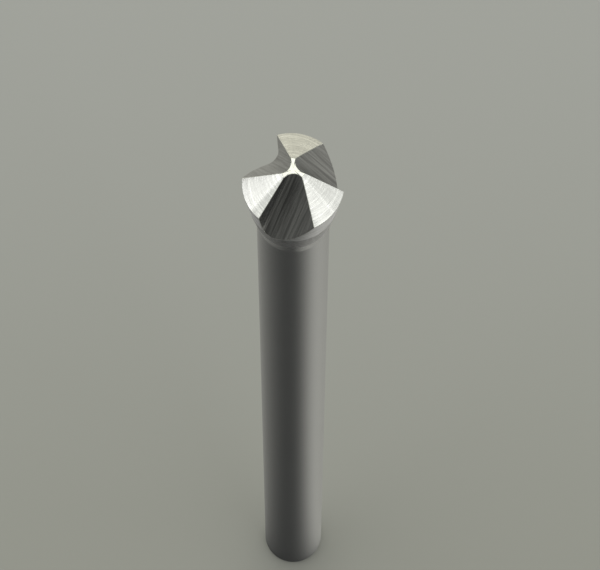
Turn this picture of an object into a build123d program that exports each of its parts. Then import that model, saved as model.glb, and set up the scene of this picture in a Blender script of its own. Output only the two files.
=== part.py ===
"""Three-flute countersink bit on a long plain shank, ground from one bar of tool steel.

The origin is the centre of the shank's end face and +Z runs up the axis to the tip.
All lengths are in millimetres and all angles in degrees.
"""
from build123d import *
from math import cos, radians, sin, tan
import os

os.makedirs("parts", exist_ok=True)

# Driving dimensions
overall_length = 130.0
head_diameter = 8.3
shank_diameter = 6.0
tip_diameter = 2.0
point_angle = 90.0
margin_length = 4.75
margin_back_taper = 6.0
taper_length = 4.85
flute_count = 3
groove_angle = 85.5
groove_slope = 23.75
root_radius = 0.95
root_past_axis = 0.05
rake_behind_axis = 0.14
relief_angle = 4.8
shank_chamfer = 0.5

# Heights worked out from the driving dimensions
head_radius = head_diameter / 2
shank_radius = shank_diameter / 2
tip_radius = tip_diameter / 2
half_point = point_angle / 2
cone_height = (head_radius - tip_radius) / tan(radians(half_point))
rim_height = overall_length - cone_height
taper_top = rim_height - margin_length
taper_bottom = taper_top - taper_length
margin_back_radius = head_radius - margin_length * tan(radians(margin_back_taper))
apex_height = overall_length + tip_radius / tan(radians(half_point))

# How far the grinding shapes reach past the bar, so that every cut runs out in the open
clear_radius = 2 * head_diameter
clear_depth = clear_radius / tan(radians(half_point))
clear_height = apex_height + head_diameter

# The bar's turned outline: chamfered shank, neck taper, margin that backs off, point cone, flat tip
with BuildPart() as blank:
    with BuildSketch(Plane.XZ):
        with BuildLine():
            Polyline(
                (0, 0),
                (shank_radius - shank_chamfer, 0),
                (shank_radius, shank_chamfer),
                (shank_radius, taper_bottom),
                (margin_back_radius, taper_top),
                (head_radius, rim_height),
                (tip_radius, overall_length),
                (0, overall_length),
                close=True,
            )
        make_face()
    revolve(axis=Axis.Z)

# Everything outside the point cone, as one land sees it. The cone is swung about the land's
# cutting edge, which lies over the X axis, so the land falls away behind that edge.
cutting_edge = Axis(
    (0, 0, apex_height),
    (sin(radians(half_point)), 0, -cos(radians(half_point))),
)
with BuildPart() as outer_cone:
    with BuildSketch(Plane.XZ):
        with BuildLine():
            Polyline(
                (0, apex_height),
                (clear_radius, apex_height - clear_depth),
                (clear_radius, clear_height),
                (0, clear_height),
                close=True,
            )
        make_face()
    revolve(axis=Axis.Z)

# The share of the turn that belongs to one land, starting in the open flute ahead of its edge
land_share = 360 / flute_count
edge_lead = land_share / 6
with BuildPart() as land_sector:
    with BuildSketch(Plane.XZ.rotated((0, 0, edge_lead - land_share))):
        with Locations((clear_radius / 2, overall_length)):
            Rectangle(clear_radius, 2 * clear_depth)
    revolve(axis=Axis.Z, revolution_arc=land_share)

with BuildPart() as land_relief:
    add(outer_cone.part.rotate(cutting_edge, relief_angle))
    add(land_sector.part, mode=Mode.INTERSECT)

# One chip groove: a straight channel with a rounded root that climbs from the shank side to the
# centre of the tip. One wall runs beside the bar's axis, just behind it, and is the cutting face;
# the other wall is the back of the land ahead of it.
groove_plane = Plane(
    origin=(0, 0, overall_length),
    x_dir=(cos(radians(groove_slope)), 0, sin(radians(groove_slope))),
    z_dir=(-sin(radians(groove_slope)), 0, cos(radians(groove_slope))),
)
root_corner = (-root_past_axis, -rake_behind_axis)
rake_wall_end = (root_corner[0] + clear_radius, root_corner[1])
back_wall_end = (
    root_corner[0] + clear_radius * cos(radians(groove_angle)),
    root_corner[1] + clear_radius * sin(radians(groove_angle)),
)
with BuildPart() as groove:
    with BuildSketch(groove_plane):
        with BuildLine():
            FilletPolyline(rake_wall_end, root_corner, back_wall_end, radius=root_radius)
            Line(back_wall_end, rake_wall_end)
        make_face()
    extrude(amount=clear_depth, both=True)

# The ground bit
with BuildPart() as countersink_bit:
    add(blank.part)
    with PolarLocations(0, flute_count):
        add(land_relief.part, mode=Mode.SUBTRACT)
    with PolarLocations(0, flute_count):
        add(groove.part, mode=Mode.SUBTRACT)

countersink_bit.part.label = "countersink_bit"
export_step(countersink_bit.part, "parts/countersink_bit.step")
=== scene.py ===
"""Studio dressing for a three-flute countersink bit: its ground faces, its finishes and the set.

Lengths are in metres unless a name ends in _mm. The bit stands on the end of its shank with +Z up its
axis, and one cutting edge points along +X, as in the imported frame.
"""

import logging
import math
from dataclasses import dataclass, field
from enum import Enum, IntEnum
from typing import Any, Iterable, Mapping, Sequence, Union

import bmesh
import bpy
from mathutils import Matrix, Vector


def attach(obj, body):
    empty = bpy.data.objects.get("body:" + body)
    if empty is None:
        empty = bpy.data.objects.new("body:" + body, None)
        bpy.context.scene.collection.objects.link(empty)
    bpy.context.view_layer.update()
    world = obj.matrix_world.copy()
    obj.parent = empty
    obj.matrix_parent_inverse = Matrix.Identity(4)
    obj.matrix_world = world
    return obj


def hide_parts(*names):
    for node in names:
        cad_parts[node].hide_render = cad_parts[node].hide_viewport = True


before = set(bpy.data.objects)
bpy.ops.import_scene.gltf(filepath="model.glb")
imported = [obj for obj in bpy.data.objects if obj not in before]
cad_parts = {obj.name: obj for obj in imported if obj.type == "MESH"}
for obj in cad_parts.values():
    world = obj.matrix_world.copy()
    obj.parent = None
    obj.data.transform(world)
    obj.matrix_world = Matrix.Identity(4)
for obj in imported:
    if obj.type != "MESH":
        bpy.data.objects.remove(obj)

LOG = logging.getLogger("countersink")
MM = 0.001
IMAGE_WIDTH = 600
IMAGE_HEIGHT = 570

# Points this near the axis, or each other, are one point.
ON_AXIS = 1e-9
WELD_DISTANCE = 1e-7

# The noise runs from 0 to 1 about its middle.
NOISE_MIDDLE = 0.5
NOISE_DETAIL = 3.0

# The places of the colour sockets on a Mix node.
MIX_FACTOR, MIX_FIRST, MIX_SECOND, MIX_RESULT = 0, 6, 7, 2

# The name of a piece's own bake map.
BAKE_MAP = "OFBake"

Colour = tuple[float, float, float]
Point = tuple[float, float, float]


class Slot(IntEnum):
    """Which finish a face of the bit carries; the number is its material slot."""

    SHANK = 0
    NECK = 1
    MARGIN = 2
    LAND = 3
    FLUTE = 4
    TIP = 5
    EDGE = 6


class Lay(Enum):
    """Which way the grinding lines run on a face."""

    ROUND_THE_AXIS = "rings"
    ALONG_THE_GROOVE = "groove"

    @property
    def highlight_turn(self) -> float:
        """How far the brushed highlight is turned from the surface's tangent, in full turns."""
        return 0.25 if self is Lay.ROUND_THE_AXIS else 0.0


@dataclass(frozen=True)
class FluteLayout:
    """How the grooves lie round the bit, which its shape and its grinding lines both follow.

    Each groove and the land behind it have one share of the turn. The share starts in the open flute,
    one of lead_parts parts of itself ahead of its cutting edge.
    """

    count: int = 3
    slope: float = math.radians(23.75)
    lead_parts: int = 6

    @property
    def share(self) -> float:
        """One groove's share of a full turn, in radians."""
        return math.tau / self.count

    @property
    def lead(self) -> float:
        """How far ahead of its cutting edge a share starts, in radians."""
        return self.share / self.lead_parts


def round_axis(radius: float, turn: float, height: float) -> Point:
    """The point at that distance from the Z axis, at that angle about it and at that height."""
    return radius * math.cos(turn), radius * math.sin(turn), height


# --------------------------------------------------------------------------------------------------
# Shader maths
# --------------------------------------------------------------------------------------------------


class Signal:
    """One output socket that carries a number, so that Python's operators add Math nodes."""

    def __init__(self, sheet: "ShaderSheet", socket: bpy.types.NodeSocket) -> None:
        """Keeps the sheet of nodes and the socket."""
        self.sheet = sheet
        self.socket = socket

    def _math(self, operation: str, *operands: "Number") -> "Signal":
        """Adds one Math node.

        Args:
            operation: the node's operation.
            operands: its inputs, in order.

        Returns:
            The node's result.
        """
        return self.sheet.signal("ShaderNodeMath", {"operation": operation}, dict(enumerate(operands)))

    def __add__(self, other: "Number") -> "Signal":
        """Sum."""
        return self._math("ADD", self, other)

    def __radd__(self, other: "Number") -> "Signal":
        """Reflected sum."""
        return self._math("ADD", other, self)

    def __sub__(self, other: "Number") -> "Signal":
        """Difference."""
        return self._math("SUBTRACT", self, other)

    def __rsub__(self, other: "Number") -> "Signal":
        """Reflected difference."""
        return self._math("SUBTRACT", other, self)

    def __mul__(self, other: "Number") -> "Signal":
        """Product."""
        return self._math("MULTIPLY", self, other)

    def __rmul__(self, other: "Number") -> "Signal":
        """Reflected product."""
        return self._math("MULTIPLY", other, self)

    def __truediv__(self, other: "Number") -> "Signal":
        """Quotient."""
        return self._math("DIVIDE", self, other)

    def __rtruediv__(self, other: "Number") -> "Signal":
        """Reflected quotient."""
        return self._math("DIVIDE", other, self)

    def __pow__(self, other: "Number") -> "Signal":
        """Power."""
        return self._math("POWER", self, other)

    def __rpow__(self, other: "Number") -> "Signal":
        """Reflected power."""
        return self._math("POWER", other, self)

    def __mod__(self, other: "Number") -> "Signal":
        """Remainder that is never negative."""
        return self._math("FLOORED_MODULO", self, other)

    def __rmod__(self, other: "Number") -> "Signal":
        """Reflected remainder."""
        return self._math("FLOORED_MODULO", other, self)

    def cosine(self) -> "Signal":
        """Cosine of an angle in radians."""
        return self._math("COSINE", self)

    def sine(self) -> "Signal":
        """Sine of an angle in radians."""
        return self._math("SINE", self)

    def root(self) -> "Signal":
        """Square root."""
        return self._math("SQRT", self)

    def angle_from(self, along: "Signal") -> "Signal":
        """Angle in radians of the direction (along, self)."""
        return self._math("ARCTAN2", self, along)

    def step(self, low: float, high: float) -> "Signal":
        """Rises smoothly from 0 at low to 1 at high."""
        ends = {"Value": self, "From Min": low, "From Max": high}
        return self.sheet.signal("ShaderNodeMapRange", {"interpolation_type": "SMOOTHSTEP"}, ends)

    def toward(self, other: "Signal", share: float) -> "Signal":
        """This number moved a share of the way to another."""
        return self * (1.0 - share) + other * share


Number = Union[Signal, float]
Link = Union[Signal, bpy.types.NodeSocket, float, int, str, Sequence[float]]
Settings = Mapping[str, Any]
Sockets = Mapping[Union[int, str], Link]


class ShaderSheet:
    """The node tree of one material or of the world."""

    def __init__(self, owner: Union[bpy.types.Material, bpy.types.World]) -> None:
        """Starts the owner's nodes afresh.

        Args:
            owner: the material or world.
        """
        owner.use_nodes = True
        self.tree = owner.node_tree
        self.tree.nodes.clear()

    def node(self, kind: str, settings: Settings, sockets: Sockets) -> bpy.types.Node:
        """Adds one node.

        Args:
            kind: the node's type.
            settings: its properties, which are set first.
            sockets: its inputs by name or number, each a value or a link.

        Returns:
            The node.
        """
        made = self.tree.nodes.new(kind)
        for name, value in settings.items():
            setattr(made, name, value)
        for name, value in sockets.items():
            socket = made.inputs[name]
            source = value.socket if isinstance(value, Signal) else value
            if isinstance(source, bpy.types.NodeSocket):
                self.tree.links.new(source, socket)
            else:
                socket.default_value = source
        return made

    def signal(self, kind: str, settings: Settings, sockets: Sockets) -> Signal:
        """Adds one node and returns its first output as a number."""
        return Signal(self, self.node(kind, settings, sockets).outputs[0])

    def vector(self, x: Number, y: Number, z: Number) -> bpy.types.NodeSocket:
        """Puts three numbers together as a vector."""
        return self.node("ShaderNodeCombineXYZ", {}, {"X": x, "Y": y, "Z": z}).outputs[0]

    def colour(self, factor: Number, first: Colour, second: Colour) -> bpy.types.NodeSocket:
        """Mixes two colours.

        Args:
            factor: how far the mix goes from the first to the second.
            first: the colour at 0.
            second: the colour at 1.

        Returns:
            The mixed colour.
        """
        settings = {"data_type": "RGBA", "clamp_factor": True}
        sockets = {MIX_FACTOR: factor, MIX_FIRST: (*first, 1.0), MIX_SECOND: (*second, 1.0)}
        return self.node("ShaderNodeMix", settings, sockets).outputs[MIX_RESULT]

    def noise(self, vector: bpy.types.NodeSocket, roughness: float) -> Signal:
        """Fractal noise from 0 to 1 at a vector that already holds its scale."""
        sockets = {"Vector": vector, "Scale": 1.0, "Detail": NOISE_DETAIL, "Roughness": roughness}
        return self.signal("ShaderNodeTexNoise", {"noise_dimensions": "3D"}, sockets)

    def position_mm(self) -> tuple[Signal, Signal, Signal]:
        """Finds the point on the surface in the piece's own frame.

        Returns:
            Its x, y and z, in millimetres.
        """
        place = self.node("ShaderNodeTexCoord", {}, {}).outputs["Object"]
        scaled = self.node("ShaderNodeVectorMath", {"operation": "SCALE"}, {0: place, "Scale": 1 / MM})
        parts = self.node("ShaderNodeSeparateXYZ", {}, {0: scaled.outputs[0]}).outputs
        return Signal(self, parts["X"]), Signal(self, parts["Y"]), Signal(self, parts["Z"])


def from_axis(x: Signal, y: Signal) -> Signal:
    """Distance of a point from the Z axis."""
    return (x * x + y * y).root()


# --------------------------------------------------------------------------------------------------
# Finishes
# --------------------------------------------------------------------------------------------------


@dataclass(frozen=True)
class GroundSteel:
    """A ground face of hardened tool steel, with grinding lines across one direction.

    Lengths here are in millimetres, because the lines are tenths of one apart.

    Attributes:
        name: the material's name.
        lay: which way the lines run.
        colour: the steel between the lines.
        roughness: how dull it is on average, and roughness_swing how much a line changes that.
        line_depth: how much darker a line is than the steel between, from 0 to 1.
        line_edge: the noise at which a line is darkest, and at which it has gone.
        line_spacing_mm: the width of the broad lines, and line_length_mm their length.
        fine_spacing_mm: the width of the fine lines, and fine_length the share of that length they have.
        fine_share: how much of the pattern is fine lines.
        line_height_mm: how deep the lines are cut.
        raggedness: how uneven the lines are, and chatter_raggedness the fans.
        brushed: how far the lines pull the highlights out, from 0 to 1.
        scratches: how dark the thin scratches are, and scratch_band how wide.
        chatter: how strong the fans are that the shaking wheel left, chatter_pitch the angle between
            them, chatter_edge the noise between which they fade, and chatter_waver how they change
            with each millimetre out from the axis.
        painted_root_shade: how much painted shade darkens the steel in the groove toward the cutting
            face, over painted_root_shade_mm ahead of it.
        flutes: how the grooves lie.
    """

    name: str
    lay: Lay
    colour: Colour
    roughness: float
    line_depth: float
    line_edge: tuple[float, float] = (0.36, 0.64)
    line_spacing_mm: float = 0.36
    line_length_mm: float = 4.0
    fine_spacing_mm: float = 0.13
    fine_length: float = 0.6
    fine_share: float = 0.45
    line_height_mm: float = 0.002
    raggedness: float = 0.55
    roughness_swing: float = 0.06
    brushed: float = 0.0
    scratches: float = 0.0
    scratch_band: float = 0.0022
    chatter: float = 0.0
    chatter_pitch: float = math.radians(6.0)
    chatter_waver: float = 0.03
    chatter_edge: tuple[float, float] = (0.36, 0.62)
    chatter_raggedness: float = 0.6
    painted_root_shade: float = 0.0
    painted_root_shade_mm: tuple[float, float] = (0.2, 3.2)
    flutes: FluteLayout = FluteLayout()

    def _lay_coordinates(self, sheet: ShaderSheet) -> tuple[Signal, Signal, Signal]:
        """Coordinates with two across the grinding lines and the last along them.

        Args:
            sheet: the material's nodes.

        Returns:
            First across, second across and along, in millimetres.
        """
        x, y, z = sheet.position_mm()
        radius = from_axis(x, y)
        turn = y.angle_from(x)
        if self.lay is Lay.ROUND_THE_AXIS:
            return radius, z, turn * radius
        lead = self.flutes.lead
        folded = (turn + lead) % self.flutes.share - lead
        out = radius * folded.cosine()
        ahead = radius * folded.sine()
        slope_sine, slope_cosine = math.sin(self.flutes.slope), math.cos(self.flutes.slope)
        return ahead, out * slope_cosine + z * slope_sine, out * slope_sine - z * slope_cosine

    def _lines(self, sheet: ShaderSheet, spacing_mm: float, length_mm: float) -> Signal:
        """Streaks along the lay.

        Args:
            sheet: the material's nodes.
            spacing_mm: how wide a streak is.
            length_mm: how long it is.

        Returns:
            How far a point is from the bottom of a streak, from 0 to 1.
        """
        first, second, along = self._lay_coordinates(sheet)
        stretched = sheet.vector(first / spacing_mm, second / spacing_mm, along / length_mm)
        return sheet.noise(stretched, self.raggedness)

    def _chatter(self, sheet: ShaderSheet) -> Signal:
        """Soft fans that run out from the axis, where the wheel shook as it went round.

        Args:
            sheet: the material's nodes.

        Returns:
            How far a point is from the middle of a dark fan, from 0 to 1.
        """
        x, y, _ = sheet.position_mm()
        waver = from_axis(x, y) * self.chatter_waver
        place = sheet.vector(y.angle_from(x) / self.chatter_pitch, waver, 0.0)
        return sheet.noise(place, self.chatter_raggedness).step(*self.chatter_edge)

    def _tone(self, sheet: ShaderSheet, broad: Signal, lines: Signal) -> Signal:
        """How bright the steel is, all its marks and any painted shade in the groove taken together.

        Args:
            sheet: the material's nodes.
            broad: the broad lines alone.
            lines: the broad and fine lines together.

        Returns:
            0 where it is darkest and 1 where it is plain steel.
        """
        tone = lines.step(*self.line_edge)
        if self.chatter:
            tone = tone.toward(self._chatter(sheet), self.chatter)
        # Painted shade: the steel in the groove is darkened toward the cutting face.
        if self.painted_root_shade:
            ahead, _, _ = self._lay_coordinates(sheet)
            tone = tone.toward(ahead.step(*self.painted_root_shade_mm), self.painted_root_shade)
        if self.scratches:
            aside = broad - NOISE_MIDDLE
            off_scratch = (aside * aside).step(0.0, self.scratch_band)
            tone = tone * (off_scratch * self.scratches + (1.0 - self.scratches))
        return tone

    def material(self) -> None:
        """Makes the Blender material, under the finish's name."""
        sheet = ShaderSheet(bpy.data.materials.new(self.name))
        broad = self._lines(sheet, self.line_spacing_mm, self.line_length_mm)
        fine = self._lines(sheet, self.fine_spacing_mm, self.line_length_mm * self.fine_length)
        lines = broad.toward(fine, self.fine_share)
        dark = tuple(part * (1.0 - self.line_depth) for part in self.colour)
        cut = {"Strength": 1.0, "Distance": self.line_height_mm * MM, "Height": lines}
        swing = (lines - NOISE_MIDDLE) * (self.roughness_swing / NOISE_MIDDLE)
        sockets = {
            "Base Color": sheet.colour(self._tone(sheet, broad, lines), dark, self.colour),
            "Metallic": 1.0,
            "Roughness": self.roughness + swing,
            "Anisotropic": self.brushed,
            "Anisotropic Rotation": self.lay.highlight_turn,
            "Normal": sheet.node("ShaderNodeBump", {}, cut).outputs[0],
        }
        shader = sheet.node("ShaderNodeBsdfPrincipled", {}, sockets)
        sheet.node("ShaderNodeOutputMaterial", {}, {"Surface": shader.outputs[0]})


# --------------------------------------------------------------------------------------------------
# The bit
# --------------------------------------------------------------------------------------------------


@dataclass
class CountersinkBit:
    """The bit itself: one ground piece, cut the way its grinding wheels cut it.

    Attributes:
        margin_length: the straight part behind the rim, and margin_back_taper how it falls away.
        taper_length: the neck, from the margin's back end down to the shank.
        neck_band: where the darker band on the neck starts and ends, below the rim.
        groove_angle: the angle between a groove's two walls, which root_radius rounds off.
        root_past_axis: how far a groove's corner lies beyond the axis.
        rake_behind_axis: how far its cutting face lies behind the axis.
        relief_angle: how far each land falls away behind its cutting edge.
        edge_break: the width that honing leaves on every edge sharper than break_angle.
        sharp_angle: the least angle between two faces that shows as an edge.
        normal_weight: how far the large faces rule the shading of the edges beside them.
        bake_angle: the most that faces in one patch of the bake map turn from each other, bake_scale
            how much larger the head is on it than the shank, and bake_margin the gap between patches.
    """

    overall_length: float = 130.0 * MM
    head_diameter: float = 8.3 * MM
    shank_diameter: float = 6.0 * MM
    tip_diameter: float = 2.0 * MM
    half_point: float = math.radians(45.0)
    margin_length: float = 4.75 * MM
    margin_back_taper: float = math.radians(6.0)
    taper_length: float = 4.85 * MM
    neck_band: tuple[float, float] = (4.2 * MM, 7.4 * MM)
    flutes: FluteLayout = FluteLayout()
    groove_angle: float = math.radians(85.5)
    root_radius: float = 0.95 * MM
    root_past_axis: float = 0.05 * MM
    rake_behind_axis: float = 0.14 * MM
    relief_angle: float = math.radians(4.8)
    shank_chamfer: float = 0.5 * MM
    edge_break: float = 0.03 * MM
    edge_break_steps: int = 2
    break_angle: float = math.radians(20.0)
    sharp_angle: float = math.radians(5.0)
    normal_weight: int = 100
    facets_round: int = 192
    facets_in_root: int = 24
    bake_angle: float = math.radians(50.0)
    bake_scale: float = 5.0
    bake_margin: float = 0.002
    finishes: dict[Slot, GroundSteel] = field(default_factory=dict)

    @property
    def rim_height(self) -> float:
        """Height of the head's rim above the shank's end."""
        drop = (self.head_diameter - self.tip_diameter) / 2 / math.tan(self.half_point)
        return self.overall_length - drop

    @property
    def apex_height(self) -> float:
        """Height at which the point cone would close."""
        return self.overall_length + self.tip_diameter / 2 / math.tan(self.half_point)

    @property
    def reach(self) -> float:
        """How far the cutters reach, so that every cut runs out in the open."""
        return 2 * self.head_diameter

    def _spun(
        self,
        name: str,
        outline: Sequence[tuple[float, float]],
        slots: Sequence[Slot],
        start: float = 0.0,
        share: float = math.tau,
    ) -> bpy.types.Object:
        """Spins an outline about Z.

        Args:
            name: the object's name.
            outline: (radius, height) points, the first and the last on the axis.
            slots: the slot of the band after each point but the last.
            start: the angle where the spin starts.
            share: how far it goes, a full turn or less.

        Returns:
            A closed solid.
        """
        whole = math.isclose(share, math.tau)
        steps = round(self.facets_round * share / math.tau)
        columns = steps if whole else steps + 1
        turns = [start + share * column / steps for column in range(columns)]
        mesh = bmesh.new()
        rings: list[list[bmesh.types.BMVert]] = []
        for radius, height in outline:
            stops = turns[:1] if radius < ON_AXIS else turns
            rings.append([mesh.verts.new(round_axis(radius, turn, height)) for turn in stops])
        for low, high, slot in zip(rings, rings[1:], slots):
            for step in range(steps):
                after = (step + 1) % columns
                around = ((low, step), (low, after), (high, after), (high, step))
                corners = [ring[column % len(ring)] for ring, column in around]
                face = mesh.faces.new(list(dict.fromkeys(corners)))
                face.material_index = slot
        if not whole:
            for column in (0, steps):
                wall = mesh.faces.new([ring[column % len(ring)] for ring in rings])
                wall.material_index = slots[0]
        return self._as_object(name, mesh)

    def _as_object(self, name: str, mesh: bmesh.types.BMesh) -> bpy.types.Object:
        """Turns a closed bmesh into a linked object that carries every finish slot.

        Args:
            name: the object's name.
            mesh: the bmesh, which is freed.

        Returns:
            The object.
        """
        bmesh.ops.recalc_face_normals(mesh, faces=mesh.faces)
        data = bpy.data.meshes.new(name)
        mesh.to_mesh(data)
        mesh.free()
        for slot in Slot:
            data.materials.append(bpy.data.materials.get(self.finishes[slot].name))
        made = bpy.data.objects.new(name, data)
        bpy.context.scene.collection.objects.link(made)
        return made

    def blank(self) -> bpy.types.Object:
        """Turns the bar, before its point is ground.

        Returns:
            The bar.
        """
        shank, head = self.shank_diameter / 2, self.head_diameter / 2
        back = head - self.margin_length * math.tan(self.margin_back_taper)
        taper_top = self.rim_height - self.margin_length
        taper_bottom = taper_top - self.taper_length
        band_top, band_bottom = (self.rim_height - drop for drop in self.neck_band)
        band_rise = (band_bottom - taper_bottom) / self.taper_length
        outline = [
            (0.0, 0.0),
            (shank - self.shank_chamfer, 0.0),
            (shank, self.shank_chamfer),
            (shank, taper_bottom),
            (shank + (back - shank) * band_rise, band_bottom),
            (back, taper_top),
            (head - self.neck_band[0] * math.tan(self.margin_back_taper), band_top),
            (head, self.rim_height),
            (head, self.overall_length),
            (0.0, self.overall_length),
        ]
        slots = [*[Slot.SHANK] * 4, *[Slot.NECK] * 2, *[Slot.MARGIN] * 2, Slot.TIP]
        return self._spun("countersink", outline, slots)

    def land_cutter(self, index: int) -> bpy.types.Object:
        """What the wheel takes off above one relieved land, which falls away behind its cutting edge.

        Args:
            index: which land, from 0.

        Returns:
            The cutter, in place.
        """
        apex, share = self.apex_height, self.flutes.share
        outline = [
            (0.0, apex),
            (self.reach, apex - self.reach / math.tan(self.half_point)),
            (self.reach, apex),
            (0.0, apex + self.reach),
        ]
        slots = [Slot.LAND] * 3
        cutter = self._spun("land_cutter", outline, slots, self.flutes.lead - share, share)
        edge = Vector((math.sin(self.half_point), 0.0, -math.cos(self.half_point)))
        lifted = Matrix.Translation((0.0, 0.0, apex))
        swung = lifted @ Matrix.Rotation(self.relief_angle, 4, edge) @ lifted.inverted()
        cutter.data.transform(Matrix.Rotation(index * share, 4, "Z") @ swung)
        return cutter

    def _groove_section(self) -> list[tuple[float, float]]:
        """Draws one groove's section, with its rounded root and with its walls run out in the open.

        Returns:
            Its (across, up) corners from the centre of the tip, in the plane across the groove.
        """
        radius, steps, angle = self.root_radius, self.facets_in_root, self.groove_angle
        centre = radius / math.tan(angle / 2)
        downward = 1.5 * math.pi
        turns = (downward - (math.pi - angle) * step / steps for step in range(steps + 1))
        root = [(centre + radius * math.cos(turn), radius + radius * math.sin(turn)) for turn in turns]
        wall_end = (self.reach * math.cos(angle), self.reach * math.sin(angle))
        corners = [(self.reach, 0.0), *root, wall_end, (self.reach, self.reach)]
        return [(across - self.root_past_axis, up - self.rake_behind_axis) for across, up in corners]

    def groove_cutter(self, index: int) -> bpy.types.Object:
        """The channel that the wheel grinds for one flute.

        Args:
            index: which flute, from 0.

        Returns:
            The cutter, in place.
        """
        section = self._groove_section()
        out = Vector((math.cos(self.flutes.slope), 0.0, math.sin(self.flutes.slope)))
        ahead = Vector((0.0, 1.0, 0.0))
        climb = Vector((-math.sin(self.flutes.slope), 0.0, math.cos(self.flutes.slope)))
        tip = Vector((0.0, 0.0, self.overall_length))
        mesh = bmesh.new()
        ends = [
            [mesh.verts.new(tip + out * across + ahead * up + climb * way) for across, up in section]
            for way in (-self.reach, self.reach)
        ]
        for corner in range(len(section)):
            after = (corner + 1) % len(section)
            mesh.faces.new([ends[0][corner], ends[0][after], ends[1][after], ends[1][corner]])
        for end in ends:
            mesh.faces.new(end)
        for face in mesh.faces:
            face.material_index = Slot.FLUTE
        cutter = self._as_object("groove_cutter", mesh)
        cutter.data.transform(Matrix.Rotation(index * self.flutes.share, 4, "Z"))
        return cutter

    def ground(self, stock: bpy.types.Object, cutters: Iterable[bpy.types.Object]) -> None:
        """Takes every cutter away from the stock and keeps the result as the stock's mesh.

        Args:
            stock: the blank.
            cutters: the solids to take away, which are removed afterwards.
        """
        used = list(cutters)
        for cutter in used:
            cut = stock.modifiers.new("cut", "BOOLEAN")
            cut.operation = "DIFFERENCE"
            cut.solver = "EXACT"
            cut.object = cutter
        self._bake_modifiers(stock)
        for cutter in used:
            spent = cutter.data
            bpy.data.objects.remove(cutter)
            bpy.data.meshes.remove(spent)

    @staticmethod
    def _bake_modifiers(piece: bpy.types.Object) -> None:
        """Keeps what a piece's modifiers make as its own mesh.

        Args:
            piece: the piece, which has no modifiers afterwards.
        """
        evaluated = piece.evaluated_get(bpy.context.evaluated_depsgraph_get())
        piece.data = bpy.data.meshes.new_from_object(evaluated)
        piece.modifiers.clear()

    def edges_broken(self, piece: bpy.types.Object) -> None:
        """Rounds every sharp edge by the hair's breadth that handling and honing leave.

        Args:
            piece: the ground bit.
        """
        cleaned = bmesh.new()
        cleaned.from_mesh(piece.data)
        bmesh.ops.remove_doubles(cleaned, verts=cleaned.verts, dist=WELD_DISTANCE)
        bmesh.ops.dissolve_degenerate(cleaned, edges=cleaned.edges, dist=WELD_DISTANCE)
        cleaned.to_mesh(piece.data)
        cleaned.free()
        piece.data.shade_smooth()
        piece.data.set_sharp_from_angle(angle=self.sharp_angle)
        broken = piece.modifiers.new("edge_break", "BEVEL")
        broken.width = self.edge_break
        broken.segments = self.edge_break_steps
        broken.limit_method = "ANGLE"
        broken.angle_limit = self.break_angle
        broken.use_clamp_overlap = False
        # The broken edges carry the finish with the painted highlight.
        broken.material = Slot.EDGE
        weighted = piece.modifiers.new("face_normals", "WEIGHTED_NORMAL")
        weighted.keep_sharp = True
        weighted.weight = self.normal_weight
        self._bake_modifiers(piece)

    def laid_out(self, piece: bpy.types.Object) -> None:
        """Lays the faces out flat for baking, with the head several times larger than the plain shank.

        Args:
            piece: the finished bit.
        """
        bpy.context.view_layer.objects.active = piece
        piece.select_set(True)
        bpy.context.scene.tool_settings.use_uv_select_sync = True
        piece.data.uv_layers.active = piece.data.uv_layers.new(name=BAKE_MAP)
        bpy.ops.object.mode_set(mode="EDIT")
        bpy.ops.mesh.select_all(action="SELECT")
        bpy.ops.uv.smart_project(angle_limit=self.bake_angle, island_margin=0.0, scale_to_bounds=False)
        flat = bmesh.from_edit_mesh(piece.data)
        places = flat.loops.layers.uv[BAKE_MAP]
        for face in flat.faces:
            if face.material_index != Slot.SHANK:
                for loop in face.loops:
                    loop[places].uv *= self.bake_scale
        bmesh.update_edit_mesh(piece.data)
        bpy.ops.uv.pack_islands(rotate=True, scale=True, margin=self.bake_margin)
        bpy.ops.object.mode_set(mode="OBJECT")
        piece.select_set(False)

    def build(self) -> bpy.types.Object:
        """Grinds the bit and hangs it on the frame.

        Returns:
            The finished piece.
        """
        for finish in self.finishes.values():
            finish.material()
        stock = self.blank()
        self.ground(stock, [self.land_cutter(index) for index in range(self.flutes.count)])
        self.ground(stock, [self.groove_cutter(index) for index in range(self.flutes.count)])
        self.edges_broken(stock)
        self.laid_out(stock)
        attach(stock, "root")
        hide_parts("countersink_bit")
        return stock


# --------------------------------------------------------------------------------------------------
# The set
# --------------------------------------------------------------------------------------------------


@dataclass(frozen=True)
class SoftBox:
    """One rectangular lamp that faces the bit's head.

    Attributes:
        name: the lamp's name.
        azimuth: where it stands round the axis, in degrees from +X.
        elevation: how high it stands above the head, in degrees.
        distance: how far it is from the head.
        width: its size across, and height its size upward.
        radiance: how bright its face is.
        colour: its tint.
    """

    name: str
    azimuth: float
    elevation: float
    distance: float
    width: float
    height: float
    radiance: float
    colour: Colour

    def build(self, aim: Vector) -> None:
        """Places the lamp.

        Args:
            aim: the point it faces.
        """
        lamp = bpy.data.lights.new(self.name, "AREA")
        lamp.shape = "RECTANGLE"
        lamp.size = self.width
        lamp.size_y = self.height
        lamp.color = self.colour
        lamp.energy = self.radiance * math.pi * self.width * self.height
        made = bpy.data.objects.new(self.name, lamp)
        turn, rise = math.radians(self.azimuth), math.radians(self.elevation)
        away = Vector(round_axis(math.cos(rise), turn, math.sin(rise)))
        made.location = aim + away * self.distance
        made.rotation_mode = "QUATERNION"
        made.rotation_quaternion = away.to_track_quat("Z", "Y")
        made.visible_camera = False
        bpy.context.scene.collection.objects.link(made)


@dataclass(frozen=True)
class PaintedLightField:
    """One field of painted light on the card of painted shade.

    Attributes:
        azimuth: the middle of the field, in degrees round the axis from the camera's right.
        strength: how bright its middle is, from 0 to 1.
        sharpness: how fast it fades to either side.
    """

    azimuth: float
    strength: float
    sharpness: float


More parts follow.
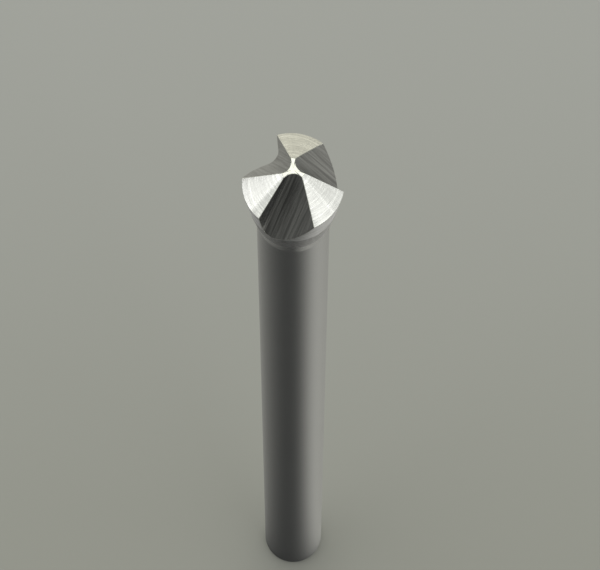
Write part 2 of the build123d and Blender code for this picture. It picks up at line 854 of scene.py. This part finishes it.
@dataclass
class Studio:
    """Floor, soft boxes, a card of painted shade and light, surroundings and camera.

    Attributes:
        floor_graded_mm: where the floor starts to go from its near colour, a painted shade, to its far
            colour, and where it ends.
        view_azimuth: how far the camera stands round from straight in front, in degrees.
        sight_elevation: how steeply it looks down, in degrees.
        focal_pixels: its focal length in the picture's pixels, and rim_pixel where the rim's centre is.
        card_core_mm: what keeps the middle of the card from a division by nothing.
        card_fade_mm: where the card's fields of painted light start to fade, card_fade how much of them
            goes, and card_haze the painted light left all round instead.
    """

    floor_far: Colour = (0.386, 0.387, 0.390)
    # The near colour is painted shade, into which the floor darkens toward the camera.
    floor_near_painted_shade: Colour = (0.322, 0.321, 0.306)
    floor_graded_mm: tuple[float, float] = (-20.0, 70.0)
    floor_size: float = 8.0
    surround_colour: Colour = (0.342, 0.356, 0.320)
    surround_strength: float = 1.35
    view_azimuth: float = 9.5
    sight_elevation: float = 72.4
    camera_distance: float = 341.5 * MM
    camera_range: tuple[float, float] = (0.01, 100.0)
    sensor_width_mm: float = 36.0
    focal_pixels: float = 4276.6
    rim_pixel: tuple[float, float] = (293.2, 181.63)
    card_radius: float = 0.6
    card_sides: int = 96
    card_lift: float = 0.2 * MM
    card_core_mm: float = 0.01
    # The card is painted shade where it is dark and painted light in its fields; the steel shows both as
    # reflections.
    card_painted_shade: Colour = (0.075, 0.075, 0.075)
    card_painted_light: Colour = (0.90, 0.88, 0.86)
    painted_light_fields: Sequence[PaintedLightField] = (PaintedLightField(-16.0, 0.42, 6.7), PaintedLightField(84.0, 0.41, 1.3))
    card_fade_mm: tuple[float, float] = (50.0, 170.0)
    card_fade: float = 0.50
    card_haze: float = 0.045
    boxes: Sequence[SoftBox] = ()

    def _plate(self, name: str, corners: Sequence[Point]) -> tuple[bpy.types.Object, ShaderSheet]:
        """A flat plate that belongs to the set.

        Args:
            name: the object's name.
            corners: its corners, in order.

        Returns:
            The plate, marked as stage, and the empty sheet of its material.
        """
        data = bpy.data.meshes.new(name)
        data.from_pydata(corners, [], [tuple(range(len(corners)))])
        matt = bpy.data.materials.new(name)
        data.materials.append(matt)
        made = bpy.data.objects.new(name, data)
        bpy.context.scene.collection.objects.link(made)
        return made, ShaderSheet(matt)

    @staticmethod
    def _matt(sheet: ShaderSheet, tone: bpy.types.NodeSocket) -> None:
        """Finishes a sheet as a matt colour."""
        shader = sheet.node("ShaderNodeBsdfDiffuse", {}, {"Color": tone})
        sheet.node("ShaderNodeOutputMaterial", {}, {"Surface": shader.outputs[0]})

    def _toward(self, sheet: ShaderSheet, azimuth: float) -> Signal:
        """How far a point of a plate lies in one direction from the axis.

        Args:
            sheet: the plate's nodes.
            azimuth: the direction, in degrees from the camera's right.

        Returns:
            The distance in millimetres, negative on the other side.
        """
        x, y, _ = sheet.position_mm()
        facing = math.radians(self.view_azimuth + azimuth)
        return x * math.cos(facing) + y * math.sin(facing)

    def floor(self) -> None:
        """The sheet that the bit stands on, with painted shade that makes it a little darker toward the
        camera.
        """
        low, high = -self.floor_size / 2, self.floor_size / 2
        _, sheet = self._plate("floor", [(low, low, 0), (high, low, 0), (high, high, 0), (low, high, 0)])
        # Painted shade: the floor grades darker toward the camera.
        far = self._toward(sheet, 90.0).step(*self.floor_graded_mm)
        self._matt(sheet, sheet.colour(far, self.floor_near_painted_shade, self.floor_far))

    def shade_and_light_card(self) -> None:
        """A card of painted shade round the bit's foot that only its steel sees, with soft fields of
        painted light.
        """
        turns = [math.tau * step / self.card_sides for step in range(self.card_sides)]
        rim = [round_axis(self.card_radius, turn, self.card_lift) for turn in turns]
        card, sheet = self._plate("shade_and_light_card", rim)
        x, y, _ = sheet.position_mm()
        away = from_axis(x, y) + self.card_core_mm
        painted_light: Number = 0.0
        # Each field adds painted light by its direction round the axis.
        for bright in self.painted_light_fields:
            facing = (self._toward(sheet, bright.azimuth) / away + 1.0) / 2
            painted_light = painted_light + facing**bright.sharpness * bright.strength
        fade = away.step(*self.card_fade_mm)
        painted_light = painted_light * (1.0 - fade * self.card_fade) + fade * self.card_haze
        self._matt(sheet, sheet.colour(painted_light, self.card_painted_shade, self.card_painted_light))
        card.visible_camera = False
        card.visible_shadow = False
        card.visible_diffuse = False

    def surroundings(self) -> None:
        """A plain room, evenly lit."""
        world = bpy.data.worlds.new("room")
        bpy.context.scene.world = world
        sheet = ShaderSheet(world)
        light = {"Color": (*self.surround_colour, 1.0), "Strength": self.surround_strength}
        sky = sheet.node("ShaderNodeBackground", {}, light)
        sheet.node("ShaderNodeOutputWorld", {}, {"Surface": sky.outputs[0]})

    def camera(self, rim: Vector) -> None:
        """Places the camera so that the rim's centre falls on its pixel.

        Args:
            rim: the centre of the head's rim.
        """
        turn, rise = math.radians(self.view_azimuth) - math.pi / 2, math.radians(self.sight_elevation)
        back = Vector(round_axis(math.cos(rise), turn, math.sin(rise)))
        lens = bpy.data.cameras.new("camera")
        lens.sensor_width = self.sensor_width_mm
        lens.lens = self.focal_pixels * self.sensor_width_mm / IMAGE_WIDTH
        lens.clip_start, lens.clip_end = self.camera_range
        made = bpy.data.objects.new("camera", lens)
        bpy.context.scene.collection.objects.link(made)
        across = math.atan((IMAGE_WIDTH / 2 - self.rim_pixel[0]) / self.focal_pixels)
        down = math.atan((IMAGE_HEIGHT / 2 - self.rim_pixel[1]) / self.focal_pixels)
        aimed = back.to_track_quat("Z", "Y").to_matrix().to_4x4()
        turned = aimed @ Matrix.Rotation(-down, 4, "X") @ Matrix.Rotation(-across, 4, "Y")
        made.matrix_world = Matrix.Translation(rim + back * self.camera_distance) @ turned
        bpy.context.scene.camera = made

    def build(self, rim: Vector) -> None:
        """Sets everything round the bit.

        Args:
            rim: the centre of the head's rim.
        """
        self.floor()
        self.shade_and_light_card()
        self.surroundings()
        for box in self.boxes:
            box.build(rim)
        self.camera(rim)
        bpy.context.scene.view_settings.view_transform = "Standard"


def bit_finishes() -> dict[Slot, GroundSteel]:
    """Chooses the finish of each face of the bit.

    Returns:
        The finishes by slot.
    """
    rings, groove = Lay.ROUND_THE_AXIS, Lay.ALONG_THE_GROOVE
    return {
        Slot.SHANK: GroundSteel("shank_ground", rings, (0.55, 0.55, 0.585), 0.23, 0.08, brushed=0.6),
        # The neck band is a darker steel than the margin above it, with deep lines.
        Slot.NECK: GroundSteel(
            "neck_dark_band",
            rings,
            colour=(0.65, 0.64, 0.68),
            roughness=0.34,
            line_depth=0.58,
            line_spacing_mm=0.22,
            line_length_mm=0.30,
            fine_spacing_mm=0.10,
            line_height_mm=0.030,
            brushed=0.5,
        ),
        Slot.MARGIN: GroundSteel(
            "margin_ground",
            rings,
            colour=(0.87, 0.86, 0.90),
            roughness=0.32,
            line_depth=0.26,
            line_spacing_mm=0.30,
            line_length_mm=1.2,
            fine_spacing_mm=0.12,
            line_height_mm=0.012,
            brushed=0.85,
        ),
        Slot.LAND: GroundSteel(
            "land_ground",
            rings,
            colour=(0.77, 0.77, 0.755),
            roughness=0.26,
            line_depth=0.38,
            line_spacing_mm=0.25,
            line_length_mm=18.0,
            fine_spacing_mm=0.09,
            line_height_mm=0.012,
            brushed=0.7,
            scratches=0.42,
            chatter=0.20,
        ),
        Slot.FLUTE: GroundSteel(
            "flute_ground",
            groove,
            colour=(0.78, 0.78, 0.80),
            roughness=0.25,
            line_depth=0.70,
            line_spacing_mm=0.24,
            line_length_mm=7.0,
            fine_spacing_mm=0.09,
            line_height_mm=0.014,
            brushed=0.6,
            # Painted shade darkens the flute toward its cutting face.
            painted_root_shade=0.40,
        ),
        Slot.TIP: GroundSteel("tip_ground", rings, (0.62, 0.62, 0.60), 0.25, 0.06),
        # The broken edges are a lighter steel than the lands: a painted highlight along them.
        Slot.EDGE: GroundSteel("edge_painted_highlight", rings, (0.85, 0.85, 0.83), 0.30, 0.0),
    }


def soft_boxes() -> list[SoftBox]:
    """Chooses the lamps round the bit.

    Returns:
        The lamps, the one overhead first.
    """
    top_tint, side_tint, back_tint = (1.0, 1.0, 0.88), (1.0, 1.0, 0.98), (1.0, 0.97, 0.79)
    return [
        SoftBox("overhead_box", 102.0, 72.0, 0.9, 1.0, 1.0, 1.40, top_tint),
        SoftBox("left_box", 181.5, 3.0, 0.7, 0.51, 0.30, 1.70, side_tint),
        SoftBox("left_front_box", 214.5, 9.0, 0.7, 0.40, 0.30, 1.02, side_tint),
        SoftBox("right_box", -37.0, 13.0, 0.7, 0.40, 0.32, 1.56, side_tint),
        SoftBox("right_rear_box", -6.0, 7.0, 0.7, 0.40, 0.30, 1.20, side_tint),
        SoftBox("back_box", 97.0, -16.0, 0.26, 0.30, 0.10, 0.94, back_tint),
    ]


def main() -> None:
    """Builds the bit and the set."""
    logging.basicConfig(level=logging.INFO, format="%(name)s: %(message)s")
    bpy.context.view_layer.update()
    bit = CountersinkBit(finishes=bit_finishes())
    piece = bit.build()
    LOG.info("%s: %d faces in %d finishes", piece.name, len(piece.data.polygons), len(bit.finishes))
    studio = Studio(boxes=soft_boxes())
    studio.build(Vector((0.0, 0.0, bit.rim_height)))
    LOG.info("studio: floor, graded card and %d soft boxes", len(studio.boxes))


if __name__ == "__main__":
    main()
